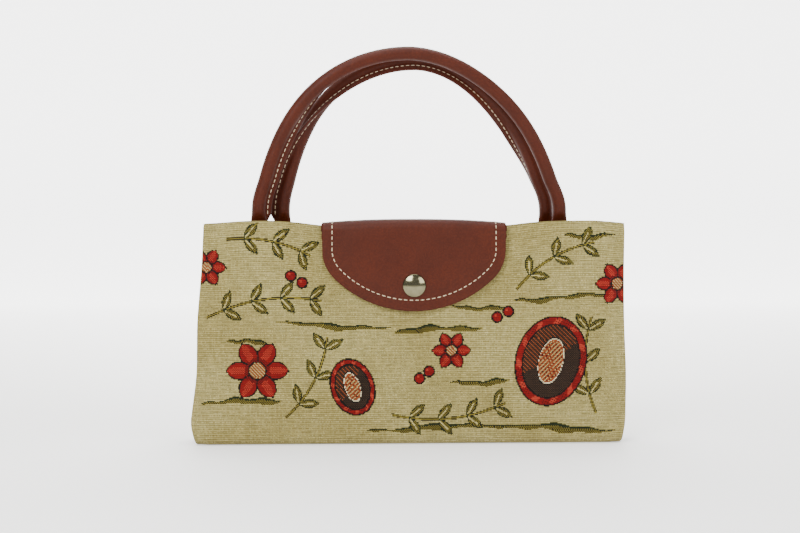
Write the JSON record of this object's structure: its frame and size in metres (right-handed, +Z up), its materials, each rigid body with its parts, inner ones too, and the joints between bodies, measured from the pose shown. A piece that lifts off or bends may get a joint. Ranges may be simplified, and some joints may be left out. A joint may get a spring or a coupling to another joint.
{
  "type": "tapestry tote bag",
  "caption": "Fold-away woven tote bag, folded and standing, with two rolled handles, a snap flap over the top and a zipped mouth behind it.",
  "frame": {"origin": "middle of the flat strip that the folded bag stands on", "axes": "+X to the right as seen from the front, +Y to the back, +Z up"},
  "size_m": [0.3162, 0.0502, 0.2881],
  "materials": {
    "tapestry": "woven, ribbed, matte",
    "thread_tan": "woven, matte",
    "thread_dark": "woven, matte",
    "thread_red": "woven, matte",
    "thread_green": "woven, matte",
    "zip_tape": "woven, matte",
    "zip_coil": "satin nylon",
    "leatherette": "fine grain, satin",
    "filler_cord": "twisted cord",
    "nickel": "polished"
  },
  "bodies": {
    "bag": {"back_panel": "tapestry", "front_panel": "tapestry", "base_panel": "tapestry", "left_gusset": "tapestry", "right_gusset": "tapestry", "zip_tape_front": "zip_tape", "zip_tape_rear": "zip_tape", "zip_coil_front": "zip_coil", "zip_coil_rear": "zip_coil", "zip_stop_left": "nickel", "zip_stop_right": "nickel", "flap_anchor": "leatherette", "snap_stud": "nickel", "snap_post": "nickel", "front_handle_tab_left": "leatherette", "front_handle_tab_right": "leatherette", "rear_handle_tab_left": "leatherette", "rear_handle_tab_right": "leatherette", "woven_field_tan": "thread_tan", "woven_field_dark": "thread_dark", "woven_field_red": "thread_red", "woven_field_stems": "thread_dark", "woven_field_green": "thread_green"},
    "flap": {"flap_outer": "leatherette", "flap_backing": "leatherette", "snap_cap": "nickel", "snap_socket": "nickel"},
    "front_handle": {"front_handle_cover": "leatherette", "front_handle_core": "filler_cord"},
    "rear_handle": {"rear_handle_cover": "leatherette", "rear_handle_core": "filler_cord"},
    "slider": {"zip_slider": "nickel"},
    "puller": {"zip_puller": "nickel"}
  },
  "joints": [
    {"name": "flap_lift", "type": "hinge", "parent": "bag", "child": "flap", "pos_m": [0, 0.0189, 0.1616], "axis": [-1, 0, 0], "range_deg": [0, 180]},
    {"name": "front_handle_swing", "type": "hinge", "parent": "bag", "child": "front_handle", "pos_m": [-0.0022, 0.0017, 0.1678], "axis": [1, 0, 0], "range_deg": [0, 90]},
    {"name": "rear_handle_swing", "type": "hinge", "parent": "bag", "child": "rear_handle", "pos_m": [0.0026, 0.0191, 0.1678], "axis": [-1, 0, 0], "range_deg": [0, 90]},
    {"name": "zip_slide", "type": "slide", "parent": "bag", "child": "slider", "axis": [1, 0, 0], "range_m": [0, 0.276]},
    {"name": "puller_swing", "type": "hinge", "parent": "slider", "child": "puller", "pos_m": [-0.1381, 0.0104, 0.1574], "axis": [0, -1, 0], "range_deg": [0, 180]}
  ]
}
